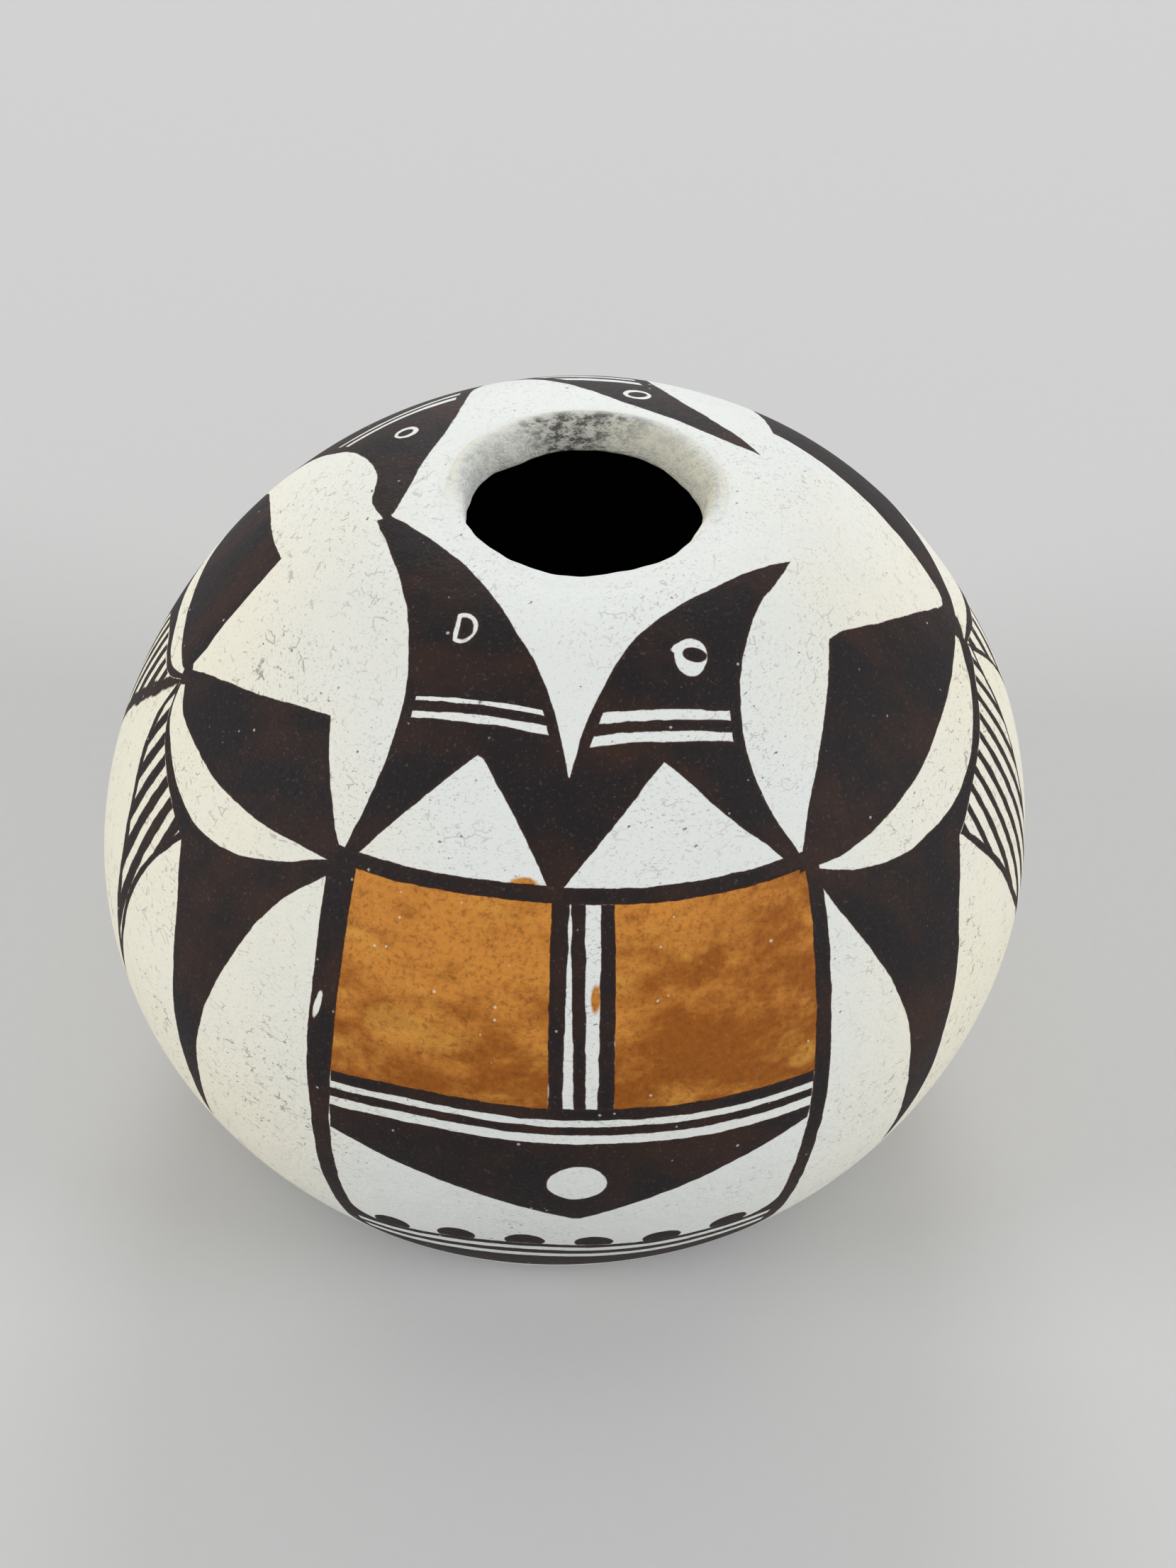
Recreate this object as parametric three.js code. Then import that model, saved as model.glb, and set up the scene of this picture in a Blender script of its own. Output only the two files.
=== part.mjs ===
// A hand-built seed jar: one piece of fired clay with a round belly, a closed-in shoulder and a small mouth.
// Millimetres, +Z up. The jar stands on z = 0 with its axis on the Z axis, and its front faces -Y.

import * as THREE from "three";

// Belly: the widest level, and how far the wall rises and falls from it on its way to the axis.
const BELLY_RADIUS = 55;
const BELLY_HEIGHT = 35;
const SHOULDER_RISE = 57.1;
const SHOULDER_POWER = 1.89;
const LOWER_DROP = 52;
const LOWER_POWER = 1.96;

// Mouth: the shoulder flattens from SHOULDER_END_RADIUS to the crest of a small rounded lip.
const SHOULDER_END_RADIUS = 28.6;
const SHOULDER_EASE = 0.62;
const LIP_HEIGHT = 86.6;
const THROAT_RADIUS = 12.1;
const LIP_ROUND = 2.4;
const LIP_UNDER_ROUND = 0.7;

// Foot: the belly turns under in an arc onto a flat ring, inside which the base is slightly hollow.
const FOOT_ARC_RADIUS = 13.5;
const FOOT_ARC_START = THREE.MathUtils.degToRad(54);
const FOOT_RING_WIDTH = 7;
const BASE_HOLLOW = 1.6;

// Clay: the wall's thickness, measured square to its outer face.
const WALL_AT_LIP = 3.4;
const WALL_AT_BELLY = 4.2;
const WALL_AT_FOOT = 5.2;

// The jar was raised by hand, so its plan is a slight oval whose long way lies off the front.
const OVAL = 0.026;
const OVAL_TURN = THREE.MathUtils.degToRad(23);

// Steps along each stretch of the section, and round the jar.
const BELLY_STEPS = 7;
const SHOULDER_STEPS = 4;
const ROUND_STEPS = 3;
const HOLLOW_STEPS = 3;
const AROUND = 64;

const SLIP_COLOUR = 0xe6e2d3;

// A stretch of a superellipse with half axes `across` and `tall`, from angle a0 to a1, about the belly's level.
function bellyArc(across, tall, power, a0, a1, steps) {
  const points = [];
  for (let i = 0; i <= steps; i += 1) {
    const angle = THREE.MathUtils.lerp(a0, a1, i / steps);
    const radius = across * Math.cos(angle) ** (2 / power);
    const rise = tall * Math.sin(Math.abs(angle)) ** (2 / power);
    points.push(new THREE.Vector2(radius, BELLY_HEIGHT + Math.sign(angle) * rise));
  }
  return points;
}

// The angle at which such a superellipse, `across` wide, has come in to `radius`.
function angleAtRadius(radius, across, power) {
  return Math.acos((radius / across) ** (power / 2));
}

// Points of a circle's arc about `centre`, from angle a0 to a1.
function arc(centre, radius, a0, a1, steps) {
  const points = [];
  for (let i = 0; i <= steps; i += 1) {
    const angle = THREE.MathUtils.lerp(a0, a1, i / steps);
    points.push(new THREE.Vector2(centre.x + radius * Math.cos(angle), centre.y + radius * Math.sin(angle)));
  }
  return points;
}

// The foot's arc: it leaves the lower belly where the wall leans FOOT_ARC_START from level, and lands flat on z = 0.
function footArc() {
  const rise = FOOT_ARC_RADIUS * (1 - Math.cos(FOOT_ARC_START));
  const down = (BELLY_HEIGHT - rise) / LOWER_DROP;
  const startRadius = BELLY_RADIUS * (1 - down ** LOWER_POWER) ** (1 / LOWER_POWER);
  const ringRadius = startRadius - FOOT_ARC_RADIUS * Math.sin(FOOT_ARC_START);
  const centre = new THREE.Vector2(ringRadius, FOOT_ARC_RADIUS);
  const points = arc(centre, FOOT_ARC_RADIUS, -Math.PI / 2, FOOT_ARC_START - Math.PI / 2, ROUND_STEPS);
  return { points, ringRadius, startRadius };
}

// The shoulder's last stretch: a curve that leaves on the belly's slope and arrives level at the lip's crest. Its two
// handles reach SHOULDER_EASE of the way to the corner where that slope meets the level of the lip.
function shoulderTop() {
  const angle = angleAtRadius(SHOULDER_END_RADIUS, BELLY_RADIUS, SHOULDER_POWER);
  const start = bellyArc(BELLY_RADIUS, SHOULDER_RISE, SHOULDER_POWER, angle, angle, 1)[0];
  const before = bellyArc(BELLY_RADIUS, SHOULDER_RISE, SHOULDER_POWER, angle - 0.01, angle - 0.01, 1)[0];
  const slope = (start.y - before.y) / (before.x - start.x);
  const corner = new THREE.Vector2(start.x - (LIP_HEIGHT - start.y) / slope, LIP_HEIGHT);
  const crest = new THREE.Vector2(THROAT_RADIUS + LIP_ROUND, LIP_HEIGHT);
  const startHandle = start.clone().lerp(corner, SHOULDER_EASE);
  const crestHandle = crest.clone().lerp(corner, SHOULDER_EASE);
  return new THREE.CubicBezierCurve(start, startHandle, crestHandle, crest).getPoints(SHOULDER_STEPS);
}

// The outer face from the foot's ring up to the lip's crest.
function outerFace() {
  const foot = footArc();
  const lowAngle = -angleAtRadius(foot.startRadius, BELLY_RADIUS, LOWER_POWER);
  const highAngle = angleAtRadius(SHOULDER_END_RADIUS, BELLY_RADIUS, SHOULDER_POWER);
  const lower = bellyArc(BELLY_RADIUS, LOWER_DROP, LOWER_POWER, lowAngle, 0, BELLY_STEPS);
  const upper = bellyArc(BELLY_RADIUS, SHOULDER_RISE, SHOULDER_POWER, 0, highAngle, BELLY_STEPS);
  return [...foot.points, ...lower.slice(1), ...upper.slice(1), ...shoulderTop().slice(1)];
}

// The wall's thickness at height z: thick at the foot, thinner at the belly and thinnest at the lip.
function wallAt(z) {
  if (z < BELLY_HEIGHT) {
    return THREE.MathUtils.mapLinear(z, 0, BELLY_HEIGHT, WALL_AT_FOOT, WALL_AT_BELLY);
  }
  return THREE.MathUtils.mapLinear(z, BELLY_HEIGHT, LIP_HEIGHT, WALL_AT_BELLY, WALL_AT_LIP);
}

// The inner face: each outer point moved square into the jar by the wall's thickness.
function innerFace(outer) {
  return outer.map((point, i) => {
    const ahead = outer[Math.min(i + 1, outer.length - 1)];
    const behind = outer[Math.max(i - 1, 0)];
    const along = new THREE.Vector2().subVectors(ahead, behind).normalize();
    const inward = new THREE.Vector2(-along.y, along.x);
    return inward.multiplyScalar(wallAt(point.y)).add(point);
  });
}

// The lip's rounded edge: from the crest down into the throat, then a small round onto the wall's inner face.
function lipEdge() {
  const crestRound = new THREE.Vector2(THROAT_RADIUS + LIP_ROUND, LIP_HEIGHT - LIP_ROUND);
  const under = new THREE.Vector2(THROAT_RADIUS + LIP_UNDER_ROUND, LIP_HEIGHT - WALL_AT_LIP + LIP_UNDER_ROUND);
  return [
    ...arc(crestRound, LIP_ROUND, Math.PI / 2, Math.PI, ROUND_STEPS).slice(1),
    ...arc(under, LIP_UNDER_ROUND, Math.PI, 1.5 * Math.PI, 3),
  ];
}

// The underside of the base: a shallow bowl from the axis out to the flat ring.
function baseHollow(ringInnerRadius) {
  const points = [];
  for (let i = 0; i <= HOLLOW_STEPS; i += 1) {
    const share = i / HOLLOW_STEPS;
    points.push(new THREE.Vector2(share * ringInnerRadius, BASE_HOLLOW * (1 - share ** 2)));
  }
  return points;
}

// The jar's closed section, anticlockwise from the middle of the base, out, up, over the lip and down inside.
function section() {
  const outer = outerFace();
  const inner = innerFace(outer).reverse();
  const ringInnerRadius = outer[0].x - FOOT_RING_WIDTH;
  const floor = new THREE.Vector2(0, inner.at(-1).y);
  return [...baseHollow(ringInnerRadius), ...outer, ...lipEdge(), ...inner.slice(1), floor];
}

function jarGeometry() {
  const geometry = new THREE.LatheGeometry(section(), AROUND);
  geometry.rotateX(Math.PI / 2);
  geometry.rotateZ(-OVAL_TURN);
  geometry.scale(1 + OVAL, 1 - OVAL, 1);
  geometry.rotateZ(OVAL_TURN);
  return geometry;
}

const slip = new THREE.MeshStandardMaterial({ color: SLIP_COLOUR, roughness: 0.6, metalness: 0 });
const jarBody = new THREE.Mesh(jarGeometry(), slip);
jarBody.name = "jar_body";

const jar = new THREE.Group();
jar.add(jarBody);

export default jar;
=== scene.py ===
"""A hand-coiled seed jar in slipped and painted clay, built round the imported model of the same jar."""
import math

import bpy
import numpy as np
from bpy.props import FloatProperty, FloatVectorProperty, IntProperty, PointerProperty
from mathutils import Matrix, Vector


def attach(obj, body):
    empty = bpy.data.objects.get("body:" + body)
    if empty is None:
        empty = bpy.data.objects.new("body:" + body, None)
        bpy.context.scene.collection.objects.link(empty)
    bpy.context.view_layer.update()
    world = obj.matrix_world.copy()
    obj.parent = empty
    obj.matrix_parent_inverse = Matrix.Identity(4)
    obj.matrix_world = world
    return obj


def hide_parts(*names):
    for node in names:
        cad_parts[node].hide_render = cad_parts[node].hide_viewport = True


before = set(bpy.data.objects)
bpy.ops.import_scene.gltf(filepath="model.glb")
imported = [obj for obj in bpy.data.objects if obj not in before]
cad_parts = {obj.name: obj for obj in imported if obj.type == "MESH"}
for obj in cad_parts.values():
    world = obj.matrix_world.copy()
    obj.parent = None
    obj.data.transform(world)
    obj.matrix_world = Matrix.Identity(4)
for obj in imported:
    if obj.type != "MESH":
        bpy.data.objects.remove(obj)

bl_info = {
    "name": "Painted seed jar",
    "version": (1, 0, 0),
    "blender": (4, 5, 0),
    "location": "View3D > Sidebar > Seed Jar",
    "description": "Forms a small painted clay seed jar and its plain stage",
    "category": "Add Mesh",
}

MM = 0.001

# The jar's profile, in millimetres, by the same formulas as the solid.
BELLY_RADIUS = 55.0
BELLY_HEIGHT = 35.0
SHOULDER_RISE = 57.1
SHOULDER_POWER = 1.89
LOWER_DROP = 52.0
LOWER_POWER = 1.96
SHOULDER_END_RADIUS = 28.6
SHOULDER_EASE = 0.62
LIP_HEIGHT = 86.6
THROAT_RADIUS = 12.1
LIP_ROUND = 2.4
LIP_UNDER_ROUND = 0.7
CREST_RADIUS = THROAT_RADIUS + LIP_ROUND
FOOT_ARC_RADIUS = 13.5
FOOT_ARC_START = math.radians(54.0)
FOOT_RING_WIDTH = 7.0
BASE_HOLLOW = 1.6
WALL_AT_LIP = 3.4
WALL_AT_BELLY = 4.2
WALL_AT_FOOT = 5.2
OVAL = 0.026
OVAL_TURN = math.radians(23.0)

# The lip: the power of its crisp corner, and at the back its middle's azimuth, from which share of the way
# round and over how much it sets in, how far out and over what arc its slope reaches, and how much deeper.
LIP_CRISPNESS = 5.0
LIP_BACK = math.radians(-8.0)
LIP_BACK_FROM = 0.35
LIP_BACK_OVER = 0.6
LIP_BACK_OUT = 1.1
LIP_BACK_ARC = 2.2
LIP_DEEPER = 0.15

# Three soft lamps stand round the jar: their azimuths from the front in degrees, and the
# distance and height of each in metres.
LAMP_AZIMUTHS = (-72.0, 76.0, 180.0)
LAMP_DISTANCE = 2.2
LAMP_HEIGHT = 0.97

# The camera: where the photograph was taken from, in metres and radians, and its lens in millimetres.
CAMERA_AT = (0.0, -0.2435, 0.2815)
CAMERA_DOWN = 0.7758
CAMERA_TURN = 0.0089
CAMERA_ROLL = 0.0596
CAMERA_LENS = 65.1
SENSOR = 36.0

# How far the mouth's cut edge strays outwards, in millimetres, at azimuths in degrees.
MOUTH_EDGE = [(-180.0, 1.1), (-157.0, 0.95), (-142.0, 0.1), (-125.0, 1.0), (-97.0, 0.8), (-67.0, 1.3),
              (-45.0, 1.1), (-22.0, 1.25), (-7.0, 1.6), (20.0, 0.9), (45.0, 1.4), (67.0, 0.95), (97.0, 1.1),
              (125.0, 0.35), (150.0, 1.1), (180.0, 1.1)]
CUT_ARC = -2.8
CUT_REACH = 3.0
CUT_WAVES = ((0.05, 19, 0.0), (0.04, 31, 1.0))

# Slow waves of the wall: size in millimetres, times round, turn per millimetre of height, and start.
HAND_WAVES = ((0.16, 2, 0.05, 0.0), (0.10, 3, -0.07, 1.0), (0.05, 7, 0.11, 2.0))
HAND_OFFSET = -0.32

# The painted pattern is drawn in folded coordinates: q in degrees from a panel's middle, and a, the arc in
# millimetres down from the lip's crest. Every quarter of the jar has its knots at the same q.
KNOT_Q = 33.0
SIDE_Q = 83.0
MM_PER_DEGREE = 0.93
FRONT_CENTRE = 2.6
FRONT_LEAN = 1.7
FRONT_LEAN_ARCS = (35.0, 20.0)
BACK_CENTRE = -159.0
LEFT_SIDE = -76.0
RIGHT_SIDE = 90.5
STRIPE_CENTRE = 0.4
BEAK_REACH = 4.4
BEAK_ARC = 14.0

# Above LIP_INSIDE_UNTIL the faces are bare clay, above PAINT_FROM they have no pattern; a jar may have up to
# COLUMN_LIMIT columns.
LIP_INSIDE_UNTIL = 1.6
PAINT_FROM = -1.0
COLUMN_LIMIT = 4096

# Each edge is a few points (q, a) on a smooth path, walked with the painted shape on its left. COMMON holds
# what a quarter has unless its own table says otherwise.
COMMON = {
    "eye size": (1.35, 1.3), "pupil": (0.0, 0.0), "pupil size": (0.95, 0.75), "eye flat": 9.0, "rim": 0.55,
    "first line": 61.9, "upper bar": 1.0, "flick": (90.0, 0.0), "line gap": 0.57,
    "tail inner": [(16.4, 22.1), (8.4, 28.0), (2.6, 34.9)],
    "tail outer": [(31.0, 35.9), (25.0, 29.8), (16.4, 22.1)],
    "crescent": [(33.2, 37.6), (41.3, 41.2), (48.1, 43.2), (56.0, 43.9), (64.0, 43.0), (73.0, 40.2),
        (83.0, 35.8)],
    "stroke": [(50.0, 46.5), (60.0, 46.4), (69.0, 43.4), (76.0, 40.6), (84.0, 36.0)],
    "low inner": [(34.4, 39.6), (38.2, 43.4), (42.0, 50.0), (44.6, 58.2), (46.2, 68.0), (46.9, 77.0),
        (48.2, 87.0)],
    "low outer": [(48.2, 87.0), (50.0, 77.0), (52.2, 66.0), (54.4, 56.0), (57.6, 50.0), (60.2, 46.4)],
    "petal": [(60.2, 46.4), (64.5, 52.4), (67.6, 59.0), (70.0, 66.0), (72.0, 75.0)],
    "hatching": [(72.0, 75.0), (75.6, 66.0), (77.4, 56.0), (79.0, 48.0), (81.4, 41.0), (84.0, 35.6)],
}
FRONT_LEFT = {
    "centre": FRONT_CENTRE, "turn": -1, "knot": -29.4, "side": LEFT_SIDE, "eye": (32.3, 9.85),
    "eye size": (1.62, 1.85), "pupil": (0.02, -0.06), "pupil size": (1.22, 1.42), "eye flat": 0.85,
    "bar gap": 0.9, "upper bar": 1.8, "rim": 1.3, "pitch": 3.5, "lean": 0.25, "first line": 66.4,
    "line gap": 0.43, "side knot": (84.0, 36.4),
    "breast": [(88.1, 6.9), (78.8, 5.0), (55.0, 3.0), (40.0, 3.6), (18.1, 8.5), (7.7, 14.2), (3.6, 19.5),
        (1.8, 23.6)],
    "back": [(34.3, 36.8), (33.5, 31.1), (33.9, 24.0), (36.8, 17.9), (44.2, 12.9), (57.4, 9.3), (74.5, 8.0),
        (87.9, 8.2)],
    "tail inner": [(17.9, 22.1), (9.0, 28.9), (4.1, 34.8)],
    "tail outer": [(32.0, 36.1), (26.7, 29.9), (17.5, 22.1)],
    "neck": [(7.4, 17.85), (32.6, 19.4)],
    "leaf top": [(83.1, 35.9), (79.9, 34.2), (72.1, 31.1), (63.2, 28.4), (54.8, 26.2), (47.4, 24.7)],
    "leaf inner": [(47.7, 24.6), (44.1, 27.7), (40.1, 31.3), (36.4, 34.9), (34.0, 37.1)],
    "bow": [(34.5, 38.1), (49.0, 38.6), (61.0, 38.8), (71.6, 38.5), (77.1, 38.3), (83.7, 35.9)],
    "crescent": [(34.3, 37.4), (44.0, 41.2), (51.7, 43.6), (59.1, 44.4), (65.9, 43.8), (73.1, 42.2),
        (79.8, 40.0), (83.7, 35.6)],
    "stroke": [(58.0, 47.9), (61.6, 47.0), (67.1, 45.4), (72.0, 44.0), (79.1, 41.2), (84.5, 36.0)],
    "low inner": [(35.2, 39.6), (39.7, 43.6), (43.1, 48.4), (45.6, 54.7), (48.0, 61.6), (49.4, 69.0),
        (50.3, 79.0), (52.3, 87.9)],
    "low outer": [(52.3, 88.0), (52.7, 76.2), (54.3, 67.8), (55.7, 59.6), (57.6, 53.3), (61.4, 46.9)],
    "petal": [(61.6, 47.0), (65.6, 52.7), (68.8, 59.8), (70.3, 67.0), (71.6, 75.0)],
    "hatching": [(71.6, 75.0), (73.1, 65.0), (74.8, 57.1), (77.5, 51.3), (80.9, 46.6), (82.9, 42.3),
        (84.6, 38.0)],
}
FRONT_RIGHT = {
    "centre": FRONT_CENTRE, "turn": 1, "knot": 35.2, "side": RIGHT_SIDE, "eye": (25.8, 12.25),
    "eye size": (1.75, 2.15), "pupil": (0.36, 0.28), "pupil size": (1.42, 0.88), "flick": (-2.5, 0.6),
    "bar gap": 1.15, "rim": 0.5, "pitch": 2.5, "lean": 0.18, "side knot": (84.4, 33.8),
    "breast": [(64.5, 9.0), (58.0, 7.2), (45.0, 6.0), (27.6, 6.2), (12.6, 9.3), (4.7, 14.0), (0.7, 18.3),
        (-1.8, 23.6)],
    "back": [(32.9, 36.6), (30.3, 30.4), (29.6, 24.7), (31.5, 19.5), (38.4, 13.6), (47.8, 10.7),
        (64.4, 9.6)],
    "tail inner": [(15.3, 22.5), (6.8, 28.0), (-1.5, 35.0)],
    "tail outer": [(30.5, 36.3), (23.2, 29.5), (14.8, 22.5)],
    "neck": [(4.0, 18.6), (28.4, 20.7)],
    "leaf top": [(86.3, 32.2), (83.1, 30.1), (76.6, 25.9), (69.9, 22.5), (61.7, 19.2), (59.0, 18.5),
        (56.3, 18.2)],
    "leaf inner": [(57.0, 18.0), (51.7, 20.8), (45.7, 24.4), (40.1, 28.6), (35.5, 33.0), (33.1, 36.4)],
    "bow": [(33.0, 38.3), (38.9, 38.6), (45.2, 38.1), (51.3, 37.4), (58.1, 36.4), (64.4, 35.1), (71.3, 34.2),
        (77.4, 33.7), (84.6, 33.8)],
    "crescent": [(32.1, 37.6), (41.2, 41.2), (48.1, 42.7), (54.7, 43.1), (61.0, 42.9), (67.8, 41.4),
        (75.0, 38.2), (83.2, 33.3)],
    "stroke": [(55.1, 47.4), (58.9, 46.6), (64.9, 44.0), (73.0, 41.2), (77.5, 38.9), (81.6, 37.3),
        (84.4, 34.8)],
    "low inner": [(34.0, 39.4), (35.9, 43.4), (39.1, 49.7), (41.7, 55.8), (43.7, 62.8), (44.3, 71.0),
        (45.1, 79.6), (45.4, 87.0)],
    "low outer": [(45.9, 87.1), (48.9, 76.6), (50.2, 69.9), (52.6, 61.6), (54.8, 53.7), (58.9, 45.9)],
    "petal": [(58.7, 45.8), (62.7, 52.0), (65.8, 57.8), (68.2, 63.7), (71.3, 69.7), (73.0, 76.0)],
    "hatching": [(73.0, 76.0), (76.6, 65.0), (78.0, 55.0), (80.2, 45.4), (81.2, 40.0), (84.0, 35.4)],
}
BACK_LEFT = {
    "centre": BACK_CENTRE, "turn": 1, "knot": -121.0, "side": LEFT_SIDE, "eye": (32.5, 9.9), "bar gap": 1.0,
    "rim": 2.2, "pitch": 3.7, "lean": 0.1, "line gap": 0.43, "side knot": (85.0, 36.3),
    "breast": [(80.1, 6.7), (67.6, 5.0), (54.4, 4.4), (42.4, 4.5), (29.9, 5.2), (18.9, 7.5), (7.4, 13.8),
        (2.1, 18.7), (0.2, 23.6)],
    "back": [(34.6, 36.8), (33.6, 27.2), (36.5, 20.2), (41.7, 14.0), (54.9, 9.0), (70.1, 8.5), (80.1, 7.4)],
    "neck": [(14.0, 13.4), (33.7, 19.0)],
    "leaf top": [(84.6, 34.6), (82.0, 30.6), (79.7, 25.6), (75.0, 20.0)],
    "leaf inner": [(75.1, 20.1), (63.7, 22.1), (48.1, 26.2), (39.4, 31.0), (34.0, 36.7)],
    "bow": [(34.2, 36.8), (48.6, 37.5), (59.3, 36.8), (68.4, 37.0), (76.5, 37.1), (80.9, 36.9),
        (85.2, 35.4)],
    "crescent": [(33.2, 37.6), (42.0, 40.0), (50.0, 40.9), (58.0, 40.3), (65.2, 39.6), (71.3, 39.7),
        (75.9, 39.3), (80.6, 37.8), (85.2, 35.6)],
    "low inner": [(34.4, 39.6), (37.6, 43.6), (40.6, 50.0), (42.6, 58.0), (43.8, 68.0), (44.4, 77.0),
        (45.2, 87.0)],
    "low outer": [(45.2, 87.0), (47.0, 77.0), (48.6, 66.0), (50.4, 56.0), (52.4, 50.0), (54.0, 45.9)],
    "stroke": [(51.0, 46.9), (54.0, 45.6), (60.0, 42.8), (66.0, 41.2), (72.0, 40.8), (78.0, 39.9),
        (84.6, 36.8)],
    "petal": [(54.0, 45.9), (57.0, 51.6), (59.6, 58.0), (61.4, 65.0), (62.6, 74.0)],
    "hatching": [(62.6, 74.0), (63.0, 66.0), (64.8, 58.0), (68.4, 52.4), (73.2, 47.5), (78.0, 42.9),
        (84.2, 37.0)],
}
BACK_RIGHT = {
    "centre": BACK_CENTRE + 360.0, "turn": -1, "knot": 163.0, "side": RIGHT_SIDE, "eye": (30.0, 7.2),
    "bar gap": 1.0, "pitch": 2.7, "lean": 0.17, "side knot": (84.6, 34.2),
    "breast": [(65.9, 6.8), (57.8, 4.3), (42.1, 3.4), (26.5, 4.7), (19.7, 6.4), (13.4, 8.8), (4.5, 13.8),
        (0.3, 18.4), (-0.6, 23.5)],
    "back": [(33.9, 36.9), (29.2, 28.4), (28.0, 20.0), (30.7, 12.7), (37.9, 8.9), (49.9, 6.8), (65.5, 7.0)],
    "neck": [(14.0, 12.6), (30.0, 12.4)],
    "leaf top": [(84.6, 28.9), (83.0, 30.2), (81.7, 31.2), (81.1, 31.1), (79.2, 29.3), (75.9, 25.2),
        (71.9, 21.2), (64.4, 15.3), (58.6, 12.2)],
    "leaf inner": [(58.0, 12.4), (45.3, 20.7), (37.8, 29.2), (34.1, 36.8)],
    "bow": [(33.5, 37.9), (46.0, 35.0), (58.0, 32.6), (70.5, 31.8), (75.7, 32.7), (79.5, 33.7),
        (84.6, 34.6)],
}
QUARTERS = {
    "front left": FRONT_LEFT,
    "front right": FRONT_RIGHT,
    "back left": BACK_LEFT,
    "back right": BACK_RIGHT,
}

# The panel's frame in true degrees from the stripes' middle: outer and inner edges on both sides.
FRAME = {
    "left outer": [(-35.6, 36.5), (-33.6, 44.0), (-32.2, 52.0), (-31.4, 60.0), (-30.3, 68.0), (-29.5, 80.0),
        (-28.9, 92.0)],
    "left inner": [(-30.9, 37.0), (-29.6, 44.0), (-28.8, 51.0), (-28.2, 58.0), (-27.7, 70.0), (-27.2, 80.0),
        (-26.4, 90.0)],
    "right inner": [(32.3, 37.0), (30.9, 47.0), (29.8, 56.0), (29.0, 64.0), (28.0, 74.0), (27.3, 82.0),
        (27.2, 92.0)],
    "right outer": [(34.6, 37.0), (33.2, 47.0), (31.9, 56.0), (31.0, 66.0), (29.8, 76.0), (29.4, 84.0),
        (29.4, 92.0)],
}

# How far the band, the level lines under the window and the foot lines sag, in millimetres, at degrees from
# the stripes' middle.
BAND_SAG = [(-36.0, 1.4), (-24.0, 0.7), (-16.0, 0.3), (-8.0, 0.2), (7.0, 0.7), (18.0, 1.05), (36.0, 1.55)]
LINE_SAG = [(-34.0, 1.3), (-27.0, 0.4), (-20.0, -0.4), (-14.0, -0.55), (-5.0, -0.2), (7.0, 0.2),
            (14.0, 0.65), (22.0, 1.0), (34.0, 1.5)]
FOOT_SAG = [(-30.0, 2.6), (-20.4, 1.3), (-13.0, 0.0), (-3.6, -0.5), (4.9, 0.2), (12.9, 0.6), (21.0, 0.2),
            (30.0, 0.0)]

# The levels, in millimetres down from the crest, at which painted shapes start and end.
PAIR_MEETS = 23.6
BIRD_ENDS = 36.0
TAIL_GAP_ENDS = 34.7
BAND = (34.7, 36.5)
FRAME_START = 35.0
FRAME_FOOT = 99.5
FRAME_ROUND = 7.0
INNER_FOOT = 87.4
INNER_ROUND = 4.0
WINDOW = (36.4, 60.9)
WASH = (36.2, 61.1)
LINES_START = 60.8
LEAVES_START = 34.0
LEAVES_END = 90.0
HANGING_START_Q = 32.6

# A bird's eye: the depth of its oval and of its pupil, and the slants of its white flick's two edges. A side
# knot's reach in millimetres, and how much of the way round counts.
EYE_DEPTH = 1.7
PUPIL_DEPTH = 0.95
FLICK_EDGES = ((0.585, -0.81), (0.447, 0.894))
KNOT_REACH = 1.5
KNOT_SQUEEZE = 0.46
HATCHING_LEVEL = 44.0

# The peak between the window and the dots: its place in degrees, its level, and how its edges rise.
PEAK_AT = 1.5
PEAK_LEVEL = 79.7
PEAK_RISE = (0.447, 0.0028, 0.027)

# Pale lines: their level and half their width.
WINDOW_LINES = ((62.85, 0.45), (65.15, 0.65))
FOOT_LINES = ((89.1, 0.6), (91.9, 0.7))

# The window's stripes: half width, its taper, place in degrees, and lean over the window's height. Between
# the two fields of wash: place, lean and half width.
WINDOW_TOP = 36.6
WINDOW_TALL = 23.6
STRIPES = ((1.2, 0.4, -2.35, 0.65), (0.95, 0.25, 0.05, 1.0), (0.95, 0.0, 3.97, 0.0))
BETWEEN_WASH = (0.87, 0.33, 3.6)

# Ovals on the panel: their middle in degrees and millimetres, one over their reach in each, and their depth.
DISC = ((1.2, 72.3), (0.30, 0.345), 2.9)
DOT = ((0.0, 86.5), (3.5, 0.55), 2.0)
CHIP = ((-31.0, 53.8), (2.2, 0.55), 0.45)
STAIN = ((2.5, 47.4), (1.6, 0.62), 0.6)
SMEAR = ((-7.5, 34.9), (0.55, 1.5), 0.6)
SPILL = ((-20.0, 53.0), (0.20, 0.42), 1.0)
DOT_PITCH = 8.46
DOTS_REACH = 25.5
CHIP_LEAN = 0.1


def superellipse(across, rise, power, angle):
    """Radius across * cos(angle)^(2/power) and height rise * sin(angle)^(2/power) above the belly line."""
    turn = np.sign(np.sin(angle))
    radius = across * np.abs(np.cos(angle)) ** (2.0 / power)
    height = rise * np.abs(np.sin(angle)) ** (2.0 / power) * turn
    return np.column_stack([radius, BELLY_HEIGHT + height])


def angle_at(radius, power):
    """The angle at which the superellipse has this radius: arccos((radius / belly)^(power / 2))."""
    return math.acos((radius / BELLY_RADIUS) ** (power / 2.0))


def arc_points(centre, radius, start, end, count):
    """Points on a circle about (radius, height) centre, from one angle to another."""
    angle = np.linspace(start, end, count)
    return np.column_stack([centre[0] + radius * np.cos(angle), centre[1] + radius * np.sin(angle)])


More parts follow.
